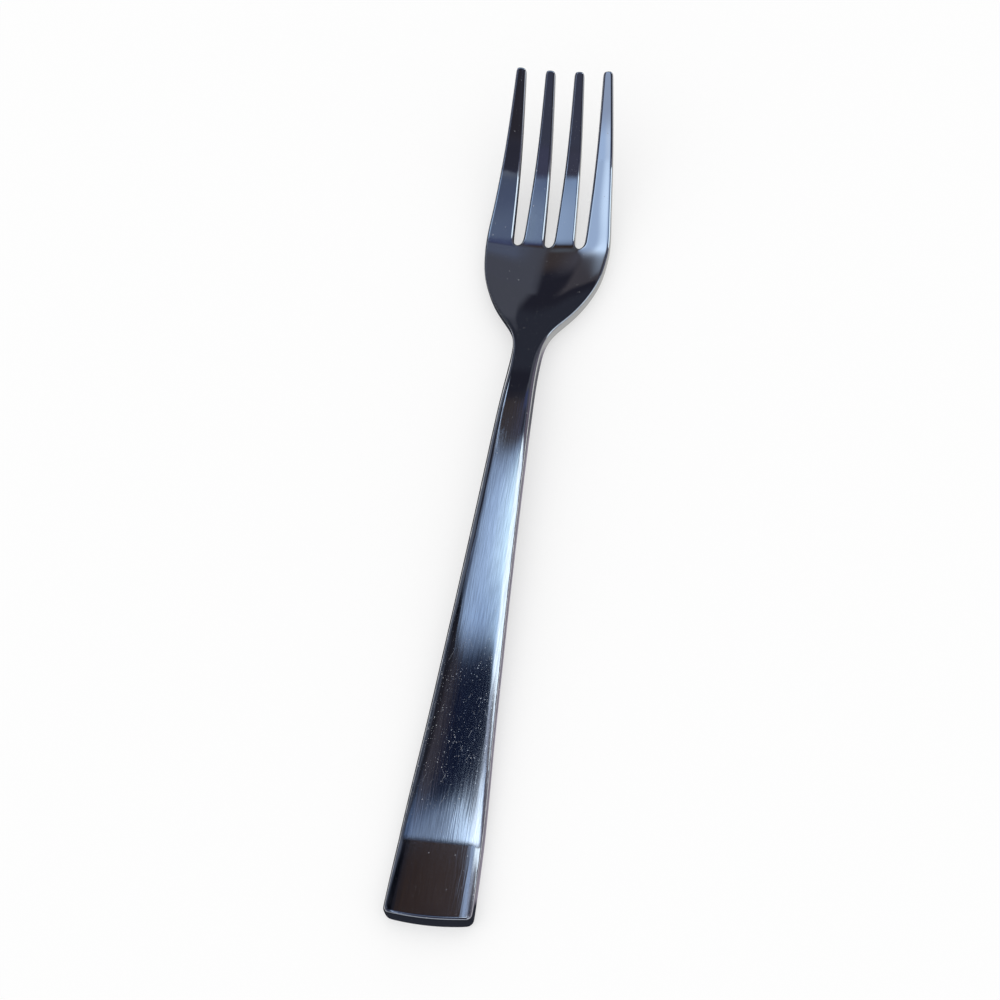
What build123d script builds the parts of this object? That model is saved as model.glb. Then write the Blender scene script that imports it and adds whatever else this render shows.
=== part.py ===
from build123d import *
from math import acos, atan2, cos, sin
import os

# A dinner fork pressed from one piece of stainless steel, lying on a table with its tines up.
# Sizes are in millimetres. +Y runs from the handle's end to the tine tips and +Z is up.
# The origin is on the table, under the middle of the fork's length.

# Lengths along the fork
fork_length = 195.0
panel_length = 16.2        # flat panel at the handle's end, which lies on the table
grip_place = 45.0          # where the grip is measured, counted from the handle's end
arch_setback = 4.0         # from the arch's top to the start of the neck
neck_length = 11.0         # slim stretch between the handle's taper and the head
flare_run = 28.0           # from the neck to the widest part of the head
bowl_run = 10.5            # from the bowl's lowest point to the widest part of the head
root_setback = 0.8         # from the widest part of the head to the slots' bottoms
tine_length = 36.7

# Widths across the fork
end_width = 17.9
panel_width = 16.74        # where the panel meets the grip
grip_width = 13.6
neck_width = 6.4
head_width = 27.4
tine_root_width = 4.5      # each of the two inner tines
tine_tip_width = 2.05
slot_root_width = 2.4
slot_tip_width = 4.45

# Curves of the outline
end_bulge = 0.8            # the end is a shallow arc
end_corner_radius = 2.2
flare_radius = 11.5        # inner curve between the neck and the head
slot_root_flat = 0.1       # straight stretch at the bottom of a slot, between its rounded corners
tip_flat = 0.25            # straight stretch at the tip of a tine, between its rounded corners

# Clear height under the fork, on its middle line: it touches the table at the panel and the bowl
grip_lift = 1.75
arch_lift = 4.25
root_lift = 0.55
tip_lift = 16.75

# Thicknesses, and the shape across the fork
end_thickness = 4.25
panel_thickness = 3.75     # where the panel meets the grip
grip_thickness = 3.3
neck_thickness = 3.4
bowl_thickness = 2.4
tip_thickness = 1.35
dish_depth = 1.2           # the head's edges stand above its middle
tip_dish = 0.85
crown_height = 0.35        # the handle's middle stands above its sides
shoulder_run = 2.2         # width of the rolled strip along each side of the handle
shoulder_drop = 0.6        # the handle's upper edges roll down
belly_rise = 0.5           # its lower edges roll up
edge_radius = 0.45         # every edge is polished round
pad_depth = 0.1            # ground off under the panel, so that it lies flat

# Places along the fork, counted from the handle's end
root_place = fork_length - tine_length
head_place = root_place - root_setback
bowl_place = head_place - bowl_run
flare_start = head_place - flare_run
neck_start = flare_start - neck_length
arch_place = neck_start - arch_setback

# Widths across all the tines
tips_width = 4 * tine_tip_width + 3 * slot_tip_width
slot_root_pitch = tine_root_width + slot_root_width
slot_tip_pitch = tine_tip_width + slot_tip_width

# The pressed sheet is drawn wider and longer than the fork, and the outline then trims it
sheet_margin = 0.6
sheet_overrun = 3.0
slot_overrun = 1.0         # slots are cut this far past the tips
section_count = 28
same_place = 0.01          # points nearer than this along the fork are at one place


def through(place, knots):
    """Value at a place on a smooth curve through (place, value) knots, which overshoots none of them."""
    spans = [b[0] - a[0] for a, b in zip(knots, knots[1:])]
    slopes = [(b[1] - a[1]) / span for a, b, span in zip(knots, knots[1:], spans)]
    tangents = [slopes[0]]
    for before, after in zip(slopes, slopes[1:]):
        turning = before * after <= 0
        tangents.append(0.0 if turning else 2 * before * after / (before + after))
    tangents.append(slopes[-1])
    if place <= knots[0][0]:
        return knots[0][1] + tangents[0] * (place - knots[0][0])
    if place >= knots[-1][0]:
        return knots[-1][1] + tangents[-1] * (place - knots[-1][0])
    i = max(n for n, knot in enumerate(knots[:-1]) if knot[0] <= place)
    t = (place - knots[i][0]) / spans[i]
    start = knots[i][1] + tangents[i] * spans[i] * t
    finish = knots[i + 1][1] - tangents[i + 1] * spans[i] * (1 - t)
    ease = t * t * (3 - 2 * t)
    return start + (finish - start) * ease


def at(x, place):
    """Point of the plan view at a place counted from the handle's end."""
    return (x, place - fork_length / 2)


def right_side():
    """Right-hand edge of the fork in plan, from the handle's end to the outer tine's tip."""
    end = Vector(*at(end_width / 2, end_bulge))
    panel = Vector(*at(panel_width / 2, panel_length))
    grip = Vector(*at(grip_width / 2, grip_place))
    neck_middle = Vector(*at(neck_width / 2, flare_start - neck_length / 2))
    down_the_taper = (neck_middle - grip).normalized()
    neck = neck_middle - down_the_taper * (neck_length / 2)
    flare = Vector(*at(neck_width / 2, flare_start))
    head = Vector(*at(head_width / 2, head_place))
    tip = Vector(*at(tips_width / 2, fork_length))
    # Two arcs make the curve from the neck to the head, and meet at the turn
    spread = (head_width - neck_width) / 2
    both_radii = (flare_run**2 + spread**2) / (2 * spread)
    turn = flare + (head - flare) * (flare_radius / both_radii)
    turn_angle = 2 * atan2(spread, flare_run)
    # The second arc runs on past the head until it touches the straight edge of the outer tine
    head_radius = both_radii - flare_radius
    centre = head - Vector(head_radius, 0)
    to_tip = tip - centre
    touch_angle = atan2(to_tip.Y, to_tip.X) - acos(head_radius / to_tip.length)
    touch = centre + Vector(cos(touch_angle), sin(touch_angle)) * head_radius
    points = [end, panel, grip, neck, flare, turn, head, touch, tip]
    leans = [
        panel - end,
        grip - end,
        neck - panel,
        down_the_taper,
        Vector(0, 1),
        Vector(sin(turn_angle), cos(turn_angle)),
        Vector(0, 1),
        tip - touch,
        tip - touch,
    ]
    return Spline(*points, tangents=leans)


def slot(index):
    """Tapered gap between two tines, drawn past the tips."""
    reach = (tine_length + slot_overrun) / tine_length
    foot = index * slot_root_pitch
    mouth = foot + index * (slot_tip_pitch - slot_root_pitch) * reach
    foot_half = slot_root_width / 2
    mouth_half = foot_half + (slot_tip_width - slot_root_width) / 2 * reach
    top = fork_length + slot_overrun
    return make_face(
        Polyline(
            at(foot - foot_half, root_place),
            at(foot + foot_half, root_place),
            at(mouth + mouth_half, top),
            at(mouth - mouth_half, top),
            close=True,
        )
    )


def plan_view():
    """Outline of the whole fork seen from above, with its slots and with sharp corners."""
    right = right_side()
    left = mirror(right, about=Plane.YZ)
    end = ThreePointArc(left @ 0, at(0, 0), right @ 0)
    tips = Line(right @ 1, left @ 1)
    return make_face([end, right, tips, left]) - [slot(index) for index in (-1, 0, 1)]


def stations():
    """Half-width and place of each cross-section, read off the outline's right-hand edge."""
    edge = right_side()
    points = [edge @ (n / section_count) for n in range(section_count + 1)]
    found = [(point.X, point.Y + fork_length / 2) for point in points]
    first = (end_width / 2, -sheet_overrun)
    last = (tips_width / 2, fork_length + sheet_overrun)
    return [first, *found, last]


def section(half, place):
    """Cross-section of the pressed sheet, where the fork is half wide on each side."""
    lift = through(place, [
        (0, -pad_depth),
        (panel_length, -pad_depth),
        (grip_place, grip_lift),
        (arch_place, arch_lift),
        (bowl_place, 0),
        (root_place, root_lift),
        (fork_length, tip_lift),
    ])
    thickness = through(place, [
        (0, end_thickness + pad_depth),
        (panel_length, panel_thickness + pad_depth),
        (grip_place, grip_thickness),
        (neck_start, neck_thickness),
        (bowl_place, bowl_thickness),
        (fork_length, tip_thickness),
    ])
    dish = through(place, [
        (0, -crown_height),
        (neck_start, -crown_height),
        (bowl_place, dish_depth),
        (root_place, dish_depth),
        (fork_length, tip_dish),
    ])
    rolled = through(place, [(0, 1), (neck_start, 1), (bowl_place, 0), (fork_length, 0)])
    flat = half - shoulder_run
    right = [flat / 2, flat, half - shoulder_run / 2, half, half + sheet_margin]
    upper = []
    lower = []
    for x in [-x for x in right[::-1]] + [0] + right:
        across = x / half
        fall = rolled * (max(abs(x) - flat, 0) / shoulder_run) ** 2
        upper.append((x, lift + thickness + dish * across**2 - shoulder_drop * fall))
        lower.append((x, lift + max(dish, 0) * across**2 + belly_rise * fall))
    outline = [
        Spline(*upper),
        Line(upper[-1], lower[-1]),
        Spline(*lower[::-1]),
        Line(lower[0], upper[0]),
    ]
    plane = Plane(origin=(0, at(0, place)[1], 0), x_dir=(1, 0, 0), z_dir=(0, -1, 0))
    return plane * make_face(outline)


def ground_away():
    """Block of metal under the table's level, taken off below the panel."""
    depth = 2 * pad_depth
    block = Box(2 * end_width, 2 * grip_place, depth, align=(Align.CENTER, Align.CENTER, Align.MAX))
    return Pos(0, -fork_length / 2, 0) * block


def corners(solid, place):
    """Upright edges of the solid at a place along the fork."""
    upright = solid.edges().filter_by(Axis.Z)
    return [edge for edge in upright if abs(edge.center().Y - at(0, place)[1]) < same_place]


def dinner_fork():
    """The whole fork: a pressed sheet trimmed to the outline, then polished round on every edge."""
    sheet = loft([section(half, place) for half, place in stations()])
    room = 2 * (tip_lift + arch_lift + end_thickness)
    solid = sheet & extrude(plan_view(), room, both=True)
    solid = fillet(corners(solid, end_bulge), end_corner_radius)
    solid = fillet(corners(solid, root_place), (slot_root_width - slot_root_flat) / 2)
    solid = fillet(corners(solid, fork_length), (tine_tip_width - tip_flat) / 2)
    faces = solid.faces().sort_by(SortBy.AREA)[-2:]
    polished = fillet(faces.edges(), edge_radius)
    return polished - ground_away()


fork = dinner_fork()
os.makedirs("parts", exist_ok=True)
export_step(fork, "parts/dinner_fork.step")
print(f"dinner_fork: {fork.volume:.0f} cubic millimetres, {fork.bounding_box().size}")
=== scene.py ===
# %% [markdown]
# A dinner fork, dressed for its picture.
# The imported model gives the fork's true size and place, in metres, lying on a table with its tines up.
# This lesson models the same fork again as a smooth subdivision mesh, because a mirror-like metal shows
# every facet, and then gives it worn polished steel, a pale table and the camera of the photograph.

# %% Load the frame
from math import cos, radians, sin, tan

import bmesh
import bpy
from mathutils import Matrix, Vector


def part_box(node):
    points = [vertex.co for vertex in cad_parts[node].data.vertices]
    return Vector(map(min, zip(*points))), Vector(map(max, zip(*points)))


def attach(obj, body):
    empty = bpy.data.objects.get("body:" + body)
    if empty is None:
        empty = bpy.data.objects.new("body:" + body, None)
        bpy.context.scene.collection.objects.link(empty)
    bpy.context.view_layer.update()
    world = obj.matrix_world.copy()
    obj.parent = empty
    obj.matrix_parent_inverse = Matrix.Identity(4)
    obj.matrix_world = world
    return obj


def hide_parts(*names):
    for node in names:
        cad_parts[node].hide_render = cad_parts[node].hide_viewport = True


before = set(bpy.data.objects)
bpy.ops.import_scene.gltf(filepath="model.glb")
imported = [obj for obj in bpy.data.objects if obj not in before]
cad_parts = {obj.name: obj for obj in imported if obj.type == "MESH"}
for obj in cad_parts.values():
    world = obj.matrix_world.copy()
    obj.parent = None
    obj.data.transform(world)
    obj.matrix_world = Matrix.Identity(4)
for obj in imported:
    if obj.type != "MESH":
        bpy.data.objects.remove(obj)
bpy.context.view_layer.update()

mm = 0.001
low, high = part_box("dinner_fork")
fork_length = (high.y - low.y) / mm
head_half = high.x / mm
print("the fork is", round(fork_length, 1), "mm long and", round(2 * head_half, 1), "mm wide")

# %% [markdown]
# A fork is pressed from a flat blank, so its shape is easy to say with a few curves along its length:
# how wide it is, how high its upper side stands, and how thick it is.
# Each curve is a handful of knots, and a monotone cubic runs through them without bumps between the knots.

# %% Curves along the fork
def through(place, knots):
    """Value at a place on a smooth curve through (place, value) knots, which overshoots none of them."""
    spans = [b[0] - a[0] for a, b in zip(knots, knots[1:])]
    slopes = [(b[1] - a[1]) / span for a, b, span in zip(knots, knots[1:], spans)]
    tangents = [slopes[0]]
    for before, after in zip(slopes, slopes[1:]):
        turning = before * after <= 0
        tangents.append(0.0 if turning else 2 * before * after / (before + after))
    tangents.append(slopes[-1])
    if place <= knots[0][0]:
        return knots[0][1] + tangents[0] * (place - knots[0][0])
    if place >= knots[-1][0]:
        return knots[-1][1] + tangents[-1] * (place - knots[-1][0])
    i = max(n for n, knot in enumerate(knots[:-1]) if knot[0] <= place)
    t = (place - knots[i][0]) / spans[i]
    start = knots[i][1] + tangents[i] * spans[i] * t
    finish = knots[i + 1][1] - tangents[i + 1] * spans[i] * (1 - t)
    return start + (finish - start) * t * t * (3 - 2 * t)


bend = 16.2            # where the flat panel at the handle's end meets the rising grip
neck = 124.0           # slimmest part
root = 158.3           # bottoms of the slots between the tines
half_knots = [
    (0, 8.95), (bend, 8.45), (45, 6.8), (118.5, 3.46), (neck, 3.25), (129.5, 3.2), (132.2, 3.52),
    (134.8, 4.46), (137.1, 6.04), (141, 8.98), (145.4, 11.26), (150.1, 12.82), (155, 13.55),
    (158, head_half), (165, 13.2), (fork_length, 10.78),
]
thickness_knots = [(0, 4.25), (bend, 3.75), (45, 3.3), (118.5, 3.4), (147, 2.4), (fork_length, 1.35)]
dish_knots = [
    (0, -0.2), (bend, -0.3), (32, -0.5), (60, -0.42), (92, -0.3), (104, -0.1), (110, -0.03), (118, -0.01),
    (126, 0), (145, 1.2), (root, 1.2), (fork_length, 0.85),
]
shoulder_knots = [(0, 2.2), (80, 2.0), (118, 1.35), (fork_length, 1.35)]
rolled_knots = [(0, 1), (118.5, 1), (146, 0), (fork_length, 0)]
print("half-width at the neck", round(through(neck, half_knots), 2), "mm")

# %% [markdown]
# A mirror shows slopes, not heights. So the upper side is given by its lean, in degrees, at places along
# the fork, as a press bends a strip: nearly level at the panel, a short bend, a slow arch, a dive into
# the bowl, and the sweep up to the tips. Adding the small rises along the way gives the height.

# %% Lean and height of the upper side
end_height = 4.25
lean_knots = [
    (0, -1.8), (bend - 0.4, -1.8), (bend + 0.4, 2.75), (24, 2.75), (29, 2.35), (36, 2.35), (50, 2.8),
    (60, 2.95), (80, 2.35), (104, 1.45), (110, 0.5), (115, -1.2), (119, -4.5), (124, -10.6), (130, -13.6),
    (137, -12.2), (145, -5), (149, -1.2), (153, 0.4), (156, 2.4), (157.4, 5), (158.6, 8.6), (160, 10.2),
    (162, 11.8), (166, 14), (170, 16), (174.7, 17.6), (177.2, 20.8), (180.4, 26.5), (185, 30.2),
    (190, 32.2), (fork_length, 33),
]
step = 0.05            # the rises are added up in steps this long


def lean_at(place):
    """Lean of the upper side in degrees: straight changes between the knots."""
    for (a, first), (b, second) in zip(lean_knots, lean_knots[1:]):
        if place <= b:
            return first + (second - first) * (place - a) / (b - a)
    return lean_knots[-1][1]


climb = [end_height]
while len(climb) * step <= fork_length + 1:
    climb.append(climb[-1] + tan(radians(lean_at((len(climb) - 0.5) * step))) * step)


def top_at(place):
    """Height of the upper side on the middle line, in millimetres."""
    return climb[min(max(round(place / step), 0), len(climb) - 1)]


print("bend", round(top_at(bend), 2), "arch", round(top_at(112), 2), "bowl", round(top_at(151), 2))
print("tip", round(top_at(fork_length), 2), "mm high")

# %% [markdown]
# The blank starts as a grid with fourteen columns: two for each of the four tines and two for each of the
# three slots, so that the slots can later be deleted as whole faces.
# On the handle the same columns crowd towards the sides, where the upper side rolls down to its edge.

# %% Rows and columns of the blank
rows = [
    0, 1.7, 4.5, 8.5, 12.5, bend - 1.2, bend - 0.6, bend - 0.2, bend + 0.2, bend + 0.6, bend + 1.2, 20,
    23.5, 28, 34, 40, 47, 54, 61, 68, 75, 82, 89, 96, 102, 107, 112, 116, 120, 123.5, 126.5, 129.5, 132,
    134.3, 136.6, 139, 141.8, 145, 148.5, 152, 155.3, 157, root, root + 1.2, 161.8, 166, 170.5, 175.5,
    180.5, 185.5, 189.5, 192.6, 194.2, fork_length,
]
side_columns = 7       # from the middle line to one edge
tine_root, tine_tip = 4.7, 2.2         # widths of a tine at its two ends
slot_root, slot_tip = 2.15, 4.25       # widths of a slot at its two ends
flat_shares = (0, 0.25, 0.5, 0.78, 1)  # columns across the flat of the handle, from its middle
edge_share, least_edge = 0.4, 0.85     # how far the last inner column stays from the edge
blend_knots = [(118, 0), (146, 1), (fork_length, 1)]


def head_columns(place):
    """Columns from the middle to the edge where the tines are, in millimetres."""
    along = (max(place, root) - root) / (fork_length - root)
    tine = tine_root + (tine_tip - tine_root) * along
    slot = slot_root + (slot_tip - slot_root) * along
    edges = [0, slot / 2, slot / 2 + tine, 1.5 * slot + tine, through(max(place, root), half_knots)]
    columns = [0, edges[1], (edges[1] + edges[2]) / 2, edges[2], (edges[2] + edges[3]) / 2, edges[3]]
    columns += [(edges[3] + edges[4]) / 2, edges[4]]
    scale = through(place, half_knots) / edges[4]
    return [x * scale for x in columns]


def handle_columns(place):
    """Columns from the middle to the edge on the handle, crowded on the rolled shoulder."""
    half = through(place, half_knots)
    run = through(place, shoulder_knots)
    flat = half - run
    outer = half - max(edge_share * run, least_edge)
    return [flat * share for share in flat_shares] + [(flat + outer) / 2, outer, half]


def columns_at(place):
    """Handle columns that change smoothly into head columns between the neck and the bowl."""
    share = min(max(through(place, blend_knots), 0), 1)
    return [a + (b - a) * share for a, b in zip(handle_columns(place), head_columns(place))]


print(len(rows), "rows of", 2 * side_columns + 1, "points")

# %% [markdown]
# The upper side is nearly flat across the handle, rolls down at both sides, and becomes a shallow dish in
# the bowl. The lower side is flat, with edges that roll up.

# %% Heights across the fork
shoulder_drop = 0.6
belly_rise = 0.5


def heights(place, x):
    """Heights of the upper and lower side at one point, in millimetres."""
    half = through(place, half_knots)
    rolled = min(max(through(place, rolled_knots), 0), 1)
    run = through(place, shoulder_knots)
    fall = rolled * (max(x - (half - run), 0) / run) ** 2
    dish = through(place, dish_knots) * (x / half) ** 2
    top = top_at(place)
    bottom = top - through(place, thickness_knots)
    return top + dish - shoulder_drop * fall, bottom + max(dish, 0) + belly_rise * fall


for aside in (0, 6.8):
    print("grip,", aside, "mm aside:", [round(z, 2) for z in heights(45, aside)])

# %% [markdown]
# The rounded ends come from moving a few points of the grid along the fork: the corners of the handle's
# end and of the tine tips are pulled back, and the middle of each slot's bottom is pushed towards the
# handle.

# %% Rounded ends
end_bulge = 0.8                        # the middle of the handle's end stands out this far
corner_in, corner_back = 0.25, 0.45    # corners of the handle's end
tip_point, tip_corner = 0.02, 0.12     # middle and corners of a tine tip
slot_bulge, slot_corner = 0.2, 0.3     # middle and corners of a slot's bottom
slot_middles = (0, 4)
slot_edges = (1, 3, 5)
tine_middles = (2, 6)
inner_edges = (1, 5)   # the sides of the two tines that face the middle line


def nudge(place, column, columns):
    """How far a point is moved from its row and column, across and along the fork, in millimetres."""
    across = columns[column] / columns[-1]
    if place == 0 and column == side_columns:
        return -corner_in, end_bulge + corner_back
    if place == 0:
        return 0, end_bulge * across**2
    if place == fork_length and column in tine_middles:
        return 0, tip_point
    if place == fork_length:
        return tip_corner if column in inner_edges else -tip_corner, -tip_corner
    if place == root and column in slot_middles:
        return 0, -slot_bulge
    if place == root and column in slot_edges:
        return -slot_corner if column in inner_edges else slot_corner, slot_corner
    return 0, 0


def spot(row, column):
    """Place of a point seen from above, in millimetres."""
    columns = columns_at(rows[row])
    aside, forward = nudge(rows[row], abs(column), columns)
    x = columns[abs(column)] + aside
    return x if column >= 0 else -x, rows[row] + forward


print("slots end near", root, "mm from the handle's end")

# %% [markdown]
# Now the grid itself. Every row is pulled to its width and height with the transform operators, two
# mirrored points at a time, as one would by hand with proportional editing off.

# %% Press the upper side
def select_points(mesh, wanted):
    """Select only the wanted vertices of the mesh in edit mode."""
    shape = bmesh.from_edit_mesh(mesh)
    shape.verts.ensure_lookup_table()
    for vertex in shape.verts:
        vertex.select = False
    for index in wanted:
        shape.verts[index].select = True
    shape.select_flush_mode()
    bmesh.update_edit_mesh(mesh)


bpy.ops.object.select_all(action="DESELECT")
bpy.ops.mesh.primitive_grid_add(x_subdivisions=2 * side_columns, y_subdivisions=len(rows) - 1, size=2)
fork = bpy.context.object
fork.name = "steel_fork"
grid = {}
for vertex in fork.data.vertices:
    column = round((vertex.co.x + 1) * side_columns) - side_columns
    row = round((vertex.co.y + 1) / 2 * (len(rows) - 1))
    grid[row, column] = vertex.index
start_place = {index: tuple(fork.data.vertices[index].co) for index in grid.values()}


def place_pair(layer, row, column, z):
    """Move the two mirrored points of one row and column to their place."""
    x, y = spot(row, column)
    pair = sorted({layer[row, column], layer[row, -column]})
    select_points(fork.data, pair)
    start = start_place[pair[0]]
    if column:
        bpy.ops.transform.resize(value=(x * mm / abs(start[0]), 1, 1))
    bpy.ops.transform.translate(value=(0, low.y + y * mm - start[1], z * mm - start[2]))


bpy.ops.object.mode_set(mode="EDIT")
bpy.ops.mesh.select_mode(type="VERT")
for row in range(len(rows)):
    for column in range(side_columns + 1):
        x, y = spot(row, column)
        place_pair(grid, row, column, heights(y, x)[0])
bpy.ops.object.mode_set(mode="OBJECT")
print("pressed", len(grid), "points")

# %% [markdown]
# The slots are the faces between two tines beyond the root row. Deleting them leaves four tines.
# Extruding the whole sheet downwards then gives it a lower side and walls all round, and the lower points
# are placed the same way as the upper ones.

# %% Cut the slots and give the sheet its thickness
slot_columns = {-5, -4, -1, 0, 3, 4}
apart = 1.0            # metres, so that the new lower points are easy to tell from the upper ones
root_row = rows.index(root)
column_of = {index: key[1] for key, index in grid.items()}
row_of = {index: key[0] for key, index in grid.items()}
bpy.ops.object.mode_set(mode="EDIT")
bpy.ops.mesh.select_all(action="DESELECT")
bpy.ops.mesh.select_mode(type="FACE")
shape = bmesh.from_edit_mesh(fork.data)
for face in shape.faces:
    left = min(column_of[vertex.index] for vertex in face.verts)
    first = min(row_of[vertex.index] for vertex in face.verts)
    face.select = first >= root_row and left in slot_columns
shape.select_flush(True)
bmesh.update_edit_mesh(fork.data)
bpy.ops.mesh.delete(type="FACE")
bpy.ops.mesh.select_all(action="SELECT")
bpy.ops.mesh.extrude_region_move(TRANSFORM_OT_translate={"value": (0, 0, -apart)})
bpy.ops.mesh.select_mode(type="VERT")
bpy.ops.object.mode_set(mode="OBJECT")
spots = {}
for row, column in grid:
    x, y = spot(row, column)
    spots[x * mm, low.y + y * mm] = (row, column)
lower = {}
for vertex in fork.data.vertices:
    if vertex.co.z < -apart / 2:
        x, y = vertex.co.x, vertex.co.y
        nearest = min(spots, key=lambda seen: abs(seen[0] - x) + abs(seen[1] - y))
        lower[spots[nearest]] = vertex.index
        start_place[vertex.index] = tuple(vertex.co)
bpy.ops.object.mode_set(mode="EDIT")
for row, column in sorted(lower):
    if column >= 0:
        x, y = spot(row, column)
        select_points(fork.data, sorted({lower[row, column], lower[row, -column]}))
        rise = heights(y, x)[1] * mm - start_place[lower[row, column]][2]
        bpy.ops.transform.translate(value=(0, 0, rise))
bpy.ops.mesh.select_all(action="SELECT")
bpy.ops.mesh.normals_make_consistent(inside=False)
bpy.ops.object.mode_set(mode="OBJECT")
print("the sheet has", len(fork.data.polygons), "faces")

# %% [markdown]
# Every edge of a real fork is polished round. First both sides are inset a little, so that the faces
# inside stay as they are. A Bevel modifier rounds the two rims of the cage, and a Subdivision Surface
# then makes the whole skin smooth. Both are applied, so the mesh itself has the real shape.

# %% Polish the edges and smooth the skin
rim = 0.42             # width of the bevel
holding = 0.62         # width of the inset that holds the faces beside it
bpy.ops.object.mode_set(mode="EDIT")
bpy.ops.mesh.select_mode(type="FACE")
for side in (1, -1):
    shape = bmesh.from_edit_mesh(fork.data)
    for face in shape.faces:
        face.select = face.normal.z * side > 0.5
    shape.select_flush(True)
    bmesh.update_edit_mesh(fork.data)
    bpy.ops.mesh.inset(thickness=holding * mm, use_even_offset=True)
bpy.ops.mesh.select_mode(type="VERT")
bpy.ops.object.mode_set(mode="OBJECT")
bevel = fork.modifiers.new("rounded_rims", "BEVEL")
bevel.width = rim * mm
bevel.segments = 2
bevel.limit_method = "ANGLE"
bevel.angle_limit = radians(38)
bevel.use_clamp_overlap = True
smooth = fork.modifiers.new("smooth_skin", "SUBSURF")
smooth.levels = 2
smooth.render_levels = 2
bpy.context.view_layer.objects.active = fork
for modifier in ("rounded_rims", "smooth_skin"):
    bpy.ops.object.modifier_apply(modifier=modifier)
bpy.ops.object.select_all(action="DESELECT")
fork.select_set(True)
bpy.ops.object.shade_smooth()
print("the fork has", len(fork.data.polygons), "faces")

# %% [markdown]
# Worn cutlery carries three small flaws: fine strokes along the handle from polishing, short scratches
# from the drawer, and specks where something sat on the metal.
# One node group scatters a flaw in every cell of a stretched pattern, thin and long for a scratch, small
# and round for a speck. Another group lays the lengthwise strokes. Both work in millimetres on the object
# itself.

# %% Node groups for wear
def new_group(name, numbers, outputs):
    """An empty shader node group with number inputs and outputs, and its two end nodes."""
    group = bpy.data.node_groups.new(name, "ShaderNodeTree")
    for label, value in numbers.items():
        socket = group.interface.new_socket(label, in_out="INPUT", socket_type="NodeSocketFloat")
        socket.default_value = value
    for label in outputs:
        group.interface.new_socket(label, in_out="OUTPUT", socket_type="NodeSocketFloat")
    return group, group.nodes.new("NodeGroupInput"), group.nodes.new("NodeGroupOutput")


def calc(tree, operation, *values):
    """A Math node in a tree, fed by sockets or numbers, and its result."""
    node = tree.nodes.new("ShaderNodeMath")
    node.operation = operation
    for socket, value in zip(node.inputs, values):
        if isinstance(value, (int, float)):
            socket.default_value = value
        else:
            tree.links.new(value, socket)
    return node.outputs[0]


def place_in_mm(tree):
    """Place on the object in millimetres, across and along."""
    where = tree.nodes.new("ShaderNodeTexCoord")
    split = tree.nodes.new("ShaderNodeSeparateXYZ")
    tree.links.new(where.outputs["Object"], split.inputs[0])
    return [calc(tree, "DIVIDE", split.outputs[axis], mm) for axis in ("X", "Y")]


def joined(tree, *values):
    """Three numbers as one vector."""
    node = tree.nodes.new("ShaderNodeCombineXYZ")
    for socket, value in zip(node.inputs, values):
        if isinstance(value, (int, float)):
            socket.default_value = value
        else:
            tree.links.new(value, socket)
    return node.outputs[0]


def scaled(tree, value, factor, start):
    """A value times a factor, plus a start."""
    return calc(tree, "ADD", calc(tree, "MULTIPLY", value, factor), start)


wander = 0.3           # how far a flaw's outline strays, in millimetres
flaws, ask, give = new_group(
    "scattered_flaws",
    {"Turn": 0.0, "Cell": 4.0, "Stretch": 1.0, "Half Width": 0.05, "Half Length": 0.05, "Share": 0.5},
    ["Mask"],
)
x, y = place_in_mm(flaws)
ragged = flaws.nodes.new("ShaderNodeTexNoise")
ragged.inputs["Scale"].default_value = 7
flaws.links.new(joined(flaws, x, y, 0), ragged.inputs["Vector"])
shift = flaws.nodes.new("ShaderNodeSeparateColor")
flaws.links.new(ragged.outputs["Color"], shift.inputs[0])
x = calc(flaws, "ADD", x, scaled(flaws, shift.outputs[0], wander, -wander / 2))
y = calc(flaws, "ADD", y, scaled(flaws, shift.outputs[1], wander, -wander / 2))
turn_cos = calc(flaws, "COSINE", ask.outputs["Turn"])
turn_sin = calc(flaws, "SINE", ask.outputs["Turn"])
across = calc(flaws, "SUBTRACT", calc(flaws, "MULTIPLY", x, turn_cos), calc(flaws, "MULTIPLY", y, turn_sin))
along = calc(flaws, "ADD", calc(flaws, "MULTIPLY", x, turn_sin), calc(flaws, "MULTIPLY", y, turn_cos))
wide_cell = ask.outputs["Cell"]
long_cell = calc(flaws, "MULTIPLY", wide_cell, ask.outputs["Stretch"])
column = calc(flaws, "DIVIDE", across, wide_cell)
row = calc(flaws, "DIVIDE", along, long_cell)
cells = flaws.nodes.new("ShaderNodeTexVoronoi")
cells.voronoi_dimensions = "2D"
cells.inputs["Scale"].default_value = 1
flaws.links.new(joined(flaws, column, row, 0), cells.inputs["Vector"])
middle = flaws.nodes.new("ShaderNodeSeparateXYZ")
flaws.links.new(cells.outputs["Position"], middle.inputs[0])
dice = flaws.nodes.new("ShaderNodeSeparateColor")
flaws.links.new(cells.outputs["Color"], dice.inputs[0])
size = scaled(flaws, dice.outputs[1], 0.8, 0.2)
spread = []
for place, centre, cell, half in (
    (column, middle.outputs[0], wide_cell, ask.outputs["Half Width"]),
    (row, middle.outputs[1], long_cell, ask.outputs["Half Length"]),
):
    off_centre = calc(flaws, "MULTIPLY", calc(flaws, "SUBTRACT", place, centre), cell)
    reached = calc(flaws, "DIVIDE", off_centre, calc(flaws, "MULTIPLY", size, half))
    spread.append(calc(flaws, "POWER", reached, 2))
inside = calc(flaws, "SUBTRACT", 1.6, calc(flaws, "ADD", *spread))
inside.node.use_clamp = True
present = calc(flaws, "LESS_THAN", dice.outputs[0], ask.outputs["Share"])
strength = calc(flaws, "MULTIPLY", inside, scaled(flaws, dice.outputs[2], 0.7, 0.3))
flaws.links.new(calc(flaws, "MULTIPLY", strength, present), give.inputs["Mask"])

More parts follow.
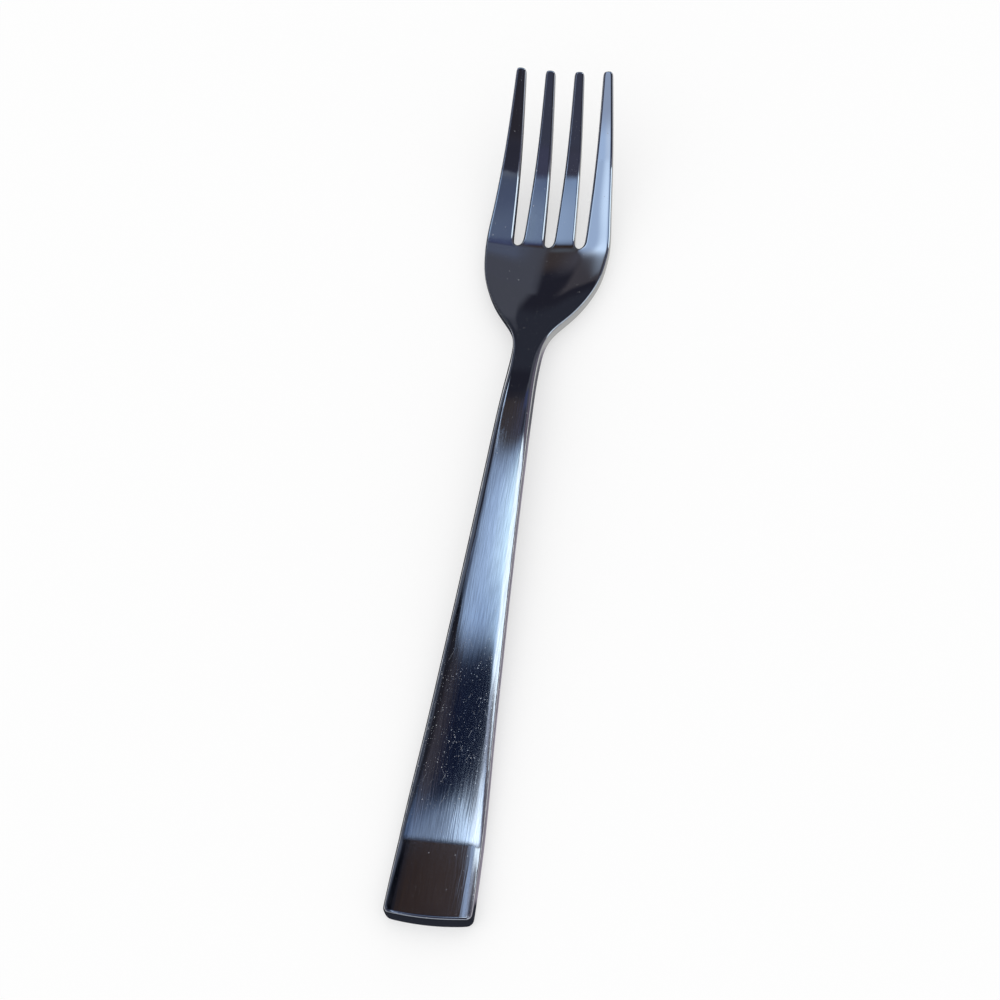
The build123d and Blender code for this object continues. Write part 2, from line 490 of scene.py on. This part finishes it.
strokes, ask, give = new_group("lengthwise_strokes", {"Per Millimetre": 9.0, "Length": 14.0}, ["Stroke"])
x, y = place_in_mm(strokes)
grain = strokes.nodes.new("ShaderNodeTexNoise")
grain.inputs["Scale"].default_value = 1
grain.inputs["Detail"].default_value = 2
stroke_x = calc(strokes, "MULTIPLY", x, ask.outputs["Per Millimetre"])
stroke_y = calc(strokes, "DIVIDE", y, ask.outputs["Length"])
strokes.links.new(joined(strokes, stroke_x, stroke_y, 0), grain.inputs["Vector"])
strokes.links.new(grain.outputs[0], give.inputs["Stroke"])
print("groups:", flaws.name, strokes.name)

# %% [markdown]
# Stainless steel is a mirror with a little blur. On the handle the strokes bend the mirror slightly,
# change its blur and brush its colour, less on the panel. The ridge where the panel meets the grip is
# rubbed a little dull. Specks and scratches are dull and pale, so that they catch the room's light where
# the steel looks dark. They lie thickest on the part of the handle that is used most.

# %% Steel
steel = bpy.data.materials.new("worn_polished_steel")
steel.use_nodes = True
tree = steel.node_tree
shader = tree.nodes["Principled BSDF"]


def placed(group, **numbers):
    """A node group in the steel, with its own values."""
    node = tree.nodes.new("ShaderNodeGroup")
    node.node_tree = group
    for label, value in numbers.items():
        node.inputs[label.replace("_", " ")].default_value = value
    return node.outputs[0]


def eased(value, low_in, high_in, low_out, high_out):
    """A value carried from one range to another with soft ends."""
    node = tree.nodes.new("ShaderNodeMapRange")
    node.interpolation_type = "SMOOTHSTEP"
    tree.links.new(value, node.inputs["Value"])
    ends = {"From Min": low_in, "From Max": high_in, "To Min": low_out, "To Max": high_out}
    for label, number in ends.items():
        node.inputs[label].default_value = number
    return node.outputs[0]


def blended(share, first, second):
    """Two colours mixed by a share from 0 to 1. Each is a number row or another node's output."""
    node = tree.nodes.new("ShaderNodeMix")
    node.data_type = "RGBA"
    tree.links.new(share, node.inputs[0])
    for socket, colour in ((node.inputs[6], first), (node.inputs[7], second)):
        if isinstance(colour, tuple):
            socket.default_value = colour
        else:
            tree.links.new(colour, socket)
    return node.outputs[2]


plain_blur, stroke_blur, ridge_blur, flaw_blur = 0.03, 0.07, 0.1, 0.4
flaw_dullness = 0.8
stroke_depth = 0.011   # millimetres
plain_steel = (0.58, 0.585, 0.6, 1)
dark_stroke = (0.5, 0.505, 0.52, 1)
light_stroke = (0.68, 0.685, 0.7, 1)
ridge = low.y / mm + bend
x, y = place_in_mm(tree)
on_handle = eased(y, 5, 25, 1, 0)
used_most = calc(tree, "MULTIPLY", eased(y, -85, -60, 0, 1), eased(y, -50, -25, 1, 0))
fine_stroke = placed(strokes, Per_Millimetre=9, Length=14)
broad_stroke = placed(strokes, Per_Millimetre=3, Length=11)
patchy = tree.nodes.new("ShaderNodeTexNoise")
patchy.inputs["Scale"].default_value = 0.3
tree.links.new(joined(tree, x, calc(tree, "MULTIPLY", y, 0.6), 0), patchy.inputs["Vector"])
patches = eased(patchy.outputs[0], 0.42, 0.62, 0.12, 1)
specks = calc(
    tree, "MAXIMUM",
    placed(flaws, Cell=0.8, Half_Width=0.1, Half_Length=0.12, Share=0.4),
    placed(flaws, Cell=0.42, Half_Width=0.06, Half_Length=0.05, Share=0.3),
)
specks = calc(tree, "MULTIPLY", calc(tree, "MULTIPLY", specks, patches), scaled(tree, used_most, 0.9, 0.1))
few_specks = placed(flaws, Cell=2.6, Half_Width=0.1, Half_Length=0.1, Share=0.35)
scratches = calc(
    tree, "MAXIMUM",
    placed(flaws, Turn=0.35, Cell=2.0, Stretch=2.0, Half_Width=0.035, Half_Length=1.6, Share=0.25),
    placed(flaws, Turn=-0.5, Cell=2.4, Stretch=2.0, Half_Width=0.03, Half_Length=1.4, Share=0.2),
)
scratches = calc(tree, "MULTIPLY", scratches, scaled(tree, used_most, 0.4, 0.05))
dull = calc(tree, "MAXIMUM", specks, calc(tree, "MULTIPLY", few_specks, 0.6))
dull = calc(tree, "MAXIMUM", dull, scratches)
blur = scaled(tree, calc(tree, "MULTIPLY", fine_stroke, on_handle), stroke_blur, plain_blur)
up_ridge = eased(y, ridge - 0.6, ridge + 0.1, 0, 1)
down_ridge = eased(y, ridge + 0.1, ridge + 1.2, 1, 0)
blur = scaled(tree, calc(tree, "MULTIPLY", up_ridge, down_ridge), ridge_blur, blur)
tree.links.new(scaled(tree, dull, flaw_blur, blur), shader.inputs["Roughness"])
tree.links.new(scaled(tree, dull, -flaw_dullness, 1), shader.inputs["Metallic"])
short_stroke = eased(placed(strokes, Per_Millimetre=4.5, Length=5), 0.3, 0.7, 0, 1)
brushing = calc(tree, "MULTIPLY", on_handle, eased(y, -83, -80, 0.3, 1))
brushed_steel = blended(short_stroke, dark_stroke, light_stroke)
tree.links.new(blended(brushing, plain_steel, brushed_steel), shader.inputs["Base Color"])
bump = tree.nodes.new("ShaderNodeBump")
bump.inputs["Strength"].default_value = 1.0
bump.inputs["Distance"].default_value = stroke_depth * mm
stroke = scaled(tree, fine_stroke, 0.45, broad_stroke)
tree.links.new(calc(tree, "MULTIPLY", stroke, on_handle), bump.inputs["Height"])
tree.links.new(bump.outputs[0], shader.inputs["Normal"])
fork.data.materials.append(steel)
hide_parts("dinner_fork")
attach(fork, "root")
print("steel set")

# %% [markdown]
# Polished metal looks like what it faces, so a dim ceiling with soft windows hangs over the table, as in
# a studio where black cards and softboxes shape the metal. They are seen only in reflections. A painted
# card has a ground colour and soft-edged zones of other colours. One node group makes the zones, in
# millimetres on the card, and a slant lets a zone's edges run askew.

# %% Soft zones
zone, ask, give = new_group(
    "soft_zone",
    {
        "Low X": 0.0, "High X": 1.0, "Low Y": 0.0, "High Y": 1.0,
        "Soft X": 0.1, "Soft Y": 0.1, "Slant X": 0.0, "Slant Y": 0.0,
    },
    ["Mask"],
)
x, y = place_in_mm(zone)
slanted_x = calc(zone, "ADD", x, calc(zone, "MULTIPLY", y, ask.outputs["Slant X"]))
slanted_y = calc(zone, "ADD", y, calc(zone, "MULTIPLY", x, ask.outputs["Slant Y"]))


def step_up(value, edge, soft, sign):
    """A soft step in the zone group, up past the edge or down past it."""
    off = calc(zone, "MULTIPLY", calc(zone, "SUBTRACT", value, edge), sign)
    ramp = zone.nodes.new("ShaderNodeMapRange")
    ramp.interpolation_type = "SMOOTHSTEP"
    zone.links.new(off, ramp.inputs["Value"])
    zone.links.new(calc(zone, "MULTIPLY", soft, -1), ramp.inputs["From Min"])
    zone.links.new(soft, ramp.inputs["From Max"])
    return ramp.outputs[0]


sides = []
for value, axis in ((slanted_x, "X"), (slanted_y, "Y")):
    soft = ask.outputs["Soft " + axis]
    sides.append(step_up(value, ask.outputs["Low " + axis], soft, 1))
    sides.append(step_up(value, ask.outputs["High " + axis], soft, -1))
mask_x = calc(zone, "MULTIPLY", sides[0], sides[1])
mask_y = calc(zone, "MULTIPLY", sides[2], sides[3])
zone.links.new(calc(zone, "MULTIPLY", mask_x, mask_y), give.inputs["Mask"])
print("zone group:", zone.name)

# %% [markdown]
# A card is a level plane. Its places along the fork are counted from the handle's end, as everywhere here.
# Where it has an outline it is clear outside, and a cover below one makes it a tinted veil.

# %% Painted cards
end = low.y / mm
far = 9000             # past the edge of every card


def zone_mask(tree, x_span=(-far, far), y_span=(-far, far), soft=(1, 1), slant=(0, 0)):
    """A soft zone in a card's material."""
    node = tree.nodes.new("ShaderNodeGroup")
    node.node_tree = zone
    sides = [value + slant[0] * end for value in x_span] + [value + end for value in y_span]
    labels = ("Low X", "High X", "Low Y", "High Y", "Soft X", "Soft Y", "Slant X", "Slant Y")
    for label, value in zip(labels, [*sides, *soft, *slant]):
        node.inputs[label].default_value = value
    return node.outputs[0]


def painted(name, ground, zones=(), outlines=(), cover=1.0):
    """A glowing material with soft zones of colour, clear outside its outlines."""
    material = bpy.data.materials.new(name)
    material.use_nodes = True
    tree = material.node_tree
    tree.nodes.clear()
    output = tree.nodes.new("ShaderNodeOutputMaterial")
    glow = tree.nodes.new("ShaderNodeEmission")
    glow.inputs["Color"].default_value = (*ground, 1)
    colour = None
    for paint, span in zones:
        mix = tree.nodes.new("ShaderNodeMix")
        mix.data_type = "RGBA"
        mix.inputs[6].default_value = (*ground, 1)
        mix.inputs[7].default_value = (*paint, 1)
        if colour:
            tree.links.new(colour, mix.inputs[6])
        tree.links.new(zone_mask(tree, **span), mix.inputs[0])
        colour = mix.outputs[2]
    if colour:
        tree.links.new(colour, glow.inputs["Color"])
    surface = glow.outputs[0]
    if outlines:
        shown = cover
        for span in outlines:
            shown = calc(tree, "MULTIPLY", zone_mask(tree, **span), shown)
        clear = tree.nodes.new("ShaderNodeBsdfTransparent")
        blend = tree.nodes.new("ShaderNodeMixShader")
        tree.links.new(shown, blend.inputs[0])
        tree.links.new(clear.outputs[0], blend.inputs[1])
        tree.links.new(surface, blend.inputs[2])
        surface = blend.outputs[0]
    tree.links.new(surface, output.inputs["Surface"])
    return material


def card(material, x_span, y_span, height):
    """A level card that only reflections see, with its spans and height in millimetres."""
    bpy.ops.mesh.primitive_plane_add(size=mm)
    made = bpy.context.object
    made.name = material.name
    made.location = (sum(x_span) / 2 * mm, (end + sum(y_span) / 2) * mm, height * mm)
    made.scale = (x_span[1] - x_span[0], y_span[1] - y_span[0], 1)
    bpy.ops.object.transform_apply(location=True, rotation=True, scale=True)
    made.data.materials.append(material)
    made.visible_camera = False
    made.visible_diffuse = False
    made.visible_shadow = False


print("cards are counted from", round(end, 1), "mm")

# %% [markdown]
# The dim ceiling is what the bowl, the panel and the darkest part of the handle look at: near black in
# the middle, brown over the panel and the neck, grey over the bowl's left, and paler far out on both
# sides, where the rolled edges look. Pale zones far behind the camera keep the fork from going black when
# it is seen from its other sides. Most groups are named for the part that looks at them, and a later zone
# is painted over an earlier one.

# %% Dim ceiling
for_tips = [
    ((0.062, 0.068, 0.106), dict(y_span=(-far, 250), soft=(1, 60))),
    ((0.076, 0.082, 0.135), dict(y_span=(-40, 250), soft=(1, 60))),
    ((0.036, 0.034, 0.046), dict(x_span=(20, far), y_span=(-far, -40), soft=(30, 150))),
]
behind_camera = [
    ((0.3, 0.33, 0.4), dict(y_span=(-far, -1000), soft=(1, 300))),
    ((0.85, 0.95, 1.1), dict(x_span=(-1000, 1000), y_span=(-2900, -1500), soft=(300, 300))),
    ((0.3, 0.33, 0.4), dict(x_span=(1100, far), y_span=(-far, 100), soft=(250, 100))),
    ((0.85, 0.95, 1.1), dict(x_span=(1500, 2900), y_span=(-1600, 0), soft=(300, 200))),
    ((0.25, 0.28, 0.34), dict(x_span=(-far, -2000), y_span=(-far, 50), soft=(400, 100))),
]
for_fourth_tine = [
    ((0.55, 0.74, 1.08), dict(x_span=(-505, -385), y_span=(-700, 205), soft=(20, 25))),
    ((0.72, 0.9, 1.2), dict(x_span=(-505, -458), y_span=(-700, 205), soft=(20, 25))),
    ((0.41, 0.51, 0.72), dict(x_span=(-505, -385), y_span=(-700, -190), soft=(20, 70))),
]
for_grip = [
    ((0.008, 0.013, 0.037), dict(x_span=(-335, far), y_span=(330, 446), soft=(20, 14))),
    ((0.056, 0.052, 0.068), dict(x_span=(-900, -322), y_span=(330, 446), soft=(12, 14))),
]
for_panel = [
    ((0.063, 0.047, 0.046), dict(y_span=(446, 560), soft=(1, 8))),
    ((0.045, 0.03, 0.026), dict(x_span=(-far, -225), y_span=(446, 560), soft=(60, 8))),
    ((0.4, 0.52, 0.76), dict(x_span=(-55, far), y_span=(446, 530), soft=(50, 10))),
    ((0.02, 0.02, 0.028), dict(x_span=(-far, -345), y_span=(446, 620), soft=(25, 8))),
]
for_bowl = [
    ((0.062, 0.051, 0.053), dict(x_span=(-430, -60), y_span=(570, 830), soft=(60, 40))),
    ((0.1, 0.11, 0.132), dict(x_span=(-325, -220), y_span=(565, 655), soft=(35, 40))),
    ((0.033, 0.037, 0.054), dict(y_span=(1350, far), soft=(1, 150))),
    ((0.08, 0.078, 0.098), dict(x_span=(-480, -310), y_span=(640, 860), soft=(60, 60))),
    ((0.072, 0.068, 0.082), dict(x_span=(-650, -400), y_span=(790, 1130), soft=(40, 60))),
    ((0.09, 0.096, 0.125), dict(x_span=(-195, 700), y_span=(560, 1050), soft=(50, 30))),
    ((0.09, 0.096, 0.122), dict(x_span=(-455, 700), y_span=(1000, 2000), soft=(40, 50), slant=(-0.278, 0))),
    ((0.11, 0.13, 0.195), dict(x_span=(-90, 700), y_span=(540, 770), soft=(60, 50))),
]
far_out = [
    ((0.12, 0.14, 0.19), dict(x_span=(-far, -1100), y_span=(700, 2500), soft=(200, 200))),
    ((0.17, 0.15, 0.2), dict(x_span=(900, far), y_span=(200, 2500), soft=(200, 200))),
    ((0.002, 0.003, 0.006), dict(x_span=(-far, -500), y_span=(352, 405), soft=(50, 14), slant=(0, 0.3))),
    ((0.3, 0.33, 0.4), dict(x_span=(-far, -3600), soft=(400, 1))),
    ((0.3, 0.33, 0.4), dict(x_span=(3000, far), soft=(400, 1))),
]
zones = for_tips + behind_camera + for_fourth_tine + for_grip + for_panel + for_bowl + far_out
ceiling = painted("dim_ceiling", (0.022, 0.023, 0.036), zones)
whole_room = (-6000, 6000)
card(ceiling, whole_room, whole_room, 1000)
print("ceiling hung with", len(zones), "zones")

# %% [markdown]
# A long window lights the middle of the handle: blue sky, darker to the left and bright to the right,
# with a lower edge that rises on the left. A white window beside it is what the rolled right edge looks
# at, and a dim one next to that is what the same edge looks at lower down.
# Cards in one plane would hide each other, so each has a height of its own.

# %% Windows over the handle
sky = (0.53, 0.735, 1.1)
white = (1.38, 1.62, 1.84)
long_window = painted("long_window", sky, [
    ((0.085, 0.115, 0.185), dict(x_span=(-far, -125), soft=(70, 1))),
    ((1.0, 1.36, 1.68), dict(x_span=(-25, far), soft=(50, 1))),
    ((0.385, 0.555, 0.875), dict(x_span=(-105, far), y_span=(-far, 192), soft=(40, 16))),
    ((0.62, 0.87, 1.22), dict(x_span=(-18, far), y_span=(-far, 192), soft=(14, 16))),
    ((0.2, 0.27, 0.42), dict(y_span=(246, far), soft=(1, 15))),
], [
    dict(x_span=(-370, 150), y_span=(171, 257), soft=(30, 8)),
    dict(y_span=(136, far), soft=(1, 8), slant=(0, 0.4)),
])
card(long_window, (-420, 250), (140, 300), 300)
edge_window = painted("edge_window", white, [], [
    dict(x_span=(100, 460), soft=(28, 1)),
    dict(y_span=(139, far), soft=(1, 3), slant=(0, -0.27)),
    dict(y_span=(-far, 240), soft=(1, 8), slant=(0, -0.3)),
])
card(edge_window, (40, 520), (150, 430), 299)
side_window = painted("side_window", (0.32, 0.36, 0.48), [
    ((0.16, 0.155, 0.18), dict(x_span=(180, far), soft=(60, 1))),
], [dict(x_span=(90, 450), y_span=(122, 138), soft=(15, 4), slant=(0, -0.27))])
card(side_window, (60, 500), (110, 320), 298)
print("windows over the handle hung")

# %% [markdown]
# Three higher windows make the bright band just above the panel: a dim one across the whole handle, a
# brighter one on the right, whose edge climbs to the right as the band does on the real fork, and a dark
# blue wing on the left.

# %% Windows for the bright band
band_window = painted("band_window", (0.25, 0.34, 0.51), [
    ((0.39, 0.52, 0.75), dict(x_span=(-115, far), soft=(20, 1))),
    ((1.3, 1.72, 2.15), dict(x_span=(-68, far), soft=(25, 1))),
], [dict(x_span=(-330, 60), y_span=(178, 216), soft=(40, 10))])
card(band_window, (-400, 120), (140, 240), 600)
rise_window = painted("rise_window", (1.17, 1.53, 2.06), [
    ((1.46, 1.74, 2.1), dict(x_span=(-25, far), soft=(30, 1))),
    ((0.6, 0.72, 0.95), dict(x_span=(420, far), soft=(80, 1))),
], [
    dict(x_span=(-70, 640), y_span=(140, 226), soft=(30, 13), slant=(0, -0.2)),
    dict(y_span=(168, far), soft=(1, 8), slant=(0, 0.3)),
])
card(rise_window, (-110, 700), (90, 390), 598)
wing_window = painted("wing_window", (0.11, 0.17, 0.31), [
    ((0.22, 0.31, 0.51), dict(x_span=(-290, far), soft=(60, 1))),
], [dict(x_span=(-740, -150), y_span=(140, 171), soft=(50, 8), slant=(0, 0.28))])
card(wing_window, (-800, -90), (150, 410), 602)
print("windows for the band hung")

# %% [markdown]
# The roots of the tines face the long window too. Low veils dim it for the first three tines, less from
# left to right, and a small low window of its own keeps the fourth tine bright down to the bowl. Each
# veil has its left and right limits, its far limit, its cover, its height and its two colours.

# %% Veils and window over the tines
veils = {
    "first_veil": (-9, 20, 197, 0.92, 100, (0.06, 0.075, 0.165), (0.035, 0.036, 0.055)),
    "second_veil": (-17.6, -9, 193.5, 0.72, 101, (0.05, 0.065, 0.16), (0.07, 0.074, 0.13)),
    "third_veil": (-27, -17.6, 193.5, 0.28, 102, (0.04, 0.036, 0.042), (0.04, 0.036, 0.042)),
}
for name, (left, right, reach, cover, height, root_glow, tip_glow) in veils.items():
    veil = painted(name, root_glow, [
        (tip_glow, dict(y_span=(-far, 174), soft=(1, 5))),
    ], [dict(x_span=(left, right), y_span=(157, reach), soft=(1, 3))], cover)
    card(veil, (left - 5, right + 5), (155, 205), height)
tine_window = painted("tine_window", (0.51, 0.68, 0.98), [
    ((0.95, 1.2, 1.56), dict(x_span=(-far, -42), soft=(2.2, 1))),
], [
    dict(x_span=(-20.8, far), soft=(1.5, 1), slant=(0.14, 0)),
    dict(x_span=(-far, -35.2), y_span=(164, 300), soft=(1, 3)),
    dict(y_span=(-far, 144), soft=(1, 13), slant=(0, 1.8)),
])
card(tine_window, (-75, -30), (150, 310), 120)
print("tine cards hung")

# %% [markdown]
# A sheet just over the floor, seen only in reflections, carries painted reflections for the fork's walls.
# Its ground is a painted dark reflection. To the right, where the walls look, it is lilac beside the
# handle, as of the table in the fork's soft shadow, dark beside the neck and pale as of the table beside
# the head.

# %% Painted reflections under the fork
# painted reflections for the walls: dark ground, lilac as of the table in soft shadow, pale as of the table
painted_reflection_sheet = painted("painted_reflection_sheet", (0.03, 0.033, 0.045), [
    ((0.34, 0.31, 0.37), dict(x_span=(2, 500), y_span=(6, 400))),
    ((0.15, 0.15, 0.17), dict(x_span=(2, 500), y_span=(112, 131), soft=(1, 4))),
    ((0.6, 0.6, 0.58), dict(x_span=(4, 500), y_span=(133, 400), soft=(1, 2))),
])
card(painted_reflection_sheet, whole_room, whole_room, 0.2)
print("cloth laid")

# %% [markdown]
# The table is a plain pale floor, and the room is white and even. Half of what the camera and the mirror
# see of the floor is plain white light, so that the fork's shadow is soft and pale.

# %% Floor and room
bpy.ops.mesh.primitive_plane_add(size=6, location=(0, 0, low.z))
floor = bpy.context.object
floor.name = "pale_table"
pale = bpy.data.materials.new("pale_table")
pale.use_nodes = True
floor_tree = pale.node_tree
matte = floor_tree.nodes["Principled BSDF"]
matte.inputs["Base Color"].default_value = (0.985, 0.985, 0.985, 1)
matte.inputs["Roughness"].default_value = 1
matte.inputs["Specular IOR Level"].default_value = 0
white_paper = floor_tree.nodes.new("ShaderNodeEmission")
white_paper.inputs["Color"].default_value = (0.99, 0.99, 0.99, 1)
sight = floor_tree.nodes.new("ShaderNodeLightPath")
seen = calc(floor_tree, "ADD", sight.outputs["Is Camera Ray"], sight.outputs["Is Glossy Ray"])
seen = calc(floor_tree, "ADD", seen, sight.outputs["Is Transmission Ray"])
lighter_shadow = floor_tree.nodes.new("ShaderNodeMixShader")
floor_tree.links.new(calc(floor_tree, "MULTIPLY", seen, 0.5), lighter_shadow.inputs[0])
floor_tree.links.new(matte.outputs[0], lighter_shadow.inputs[1])
floor_tree.links.new(white_paper.outputs[0], lighter_shadow.inputs[2])
floor_tree.links.new(lighter_shadow.outputs[0], floor_tree.nodes["Material Output"].inputs["Surface"])
floor.data.materials.append(pale)
world = bpy.data.worlds.new("white_room")
bpy.context.scene.world = world
world.use_nodes = True
room_light = world.node_tree.nodes["Background"]
room_light.inputs["Color"].default_value = (1, 1, 1, 1)
room_light.inputs["Strength"].default_value = 1.0
print("floor at", round(low.z / mm, 3), "mm")

# %% [markdown]
# The camera stands where the photographer stood: above the handle's end, a little to the right.

# %% Camera
side_tilt = radians(12.301)
back_tilt = radians(29.476)
roll = radians(10.244)
distance = 0.59805
aim = Vector((0.00001, low.y + 0.09258, 0.005))
towards = Vector((tan(side_tilt), -tan(back_tilt), 1)).normalized()
up = Vector((0, 1, 0))
up = (up - up.dot(towards) * towards).normalized()
right = up.cross(towards)
turned_up = cos(roll) * up - sin(roll) * right
turned_right = cos(roll) * right + sin(roll) * up
camera_data = bpy.data.cameras.new("camera")
camera_data.lens = 104.14
camera_data.sensor_width = 36
camera = bpy.data.objects.new("camera", camera_data)
bpy.context.scene.collection.objects.link(camera)
axes = Matrix((turned_right, turned_up, towards)).transposed()
camera.matrix_world = Matrix.Translation(aim + distance * towards) @ axes.to_4x4()
bpy.context.scene.camera = camera
bpy.context.scene.view_settings.view_transform = "Standard"
print("camera at", [round(value, 3) for value in camera.location])
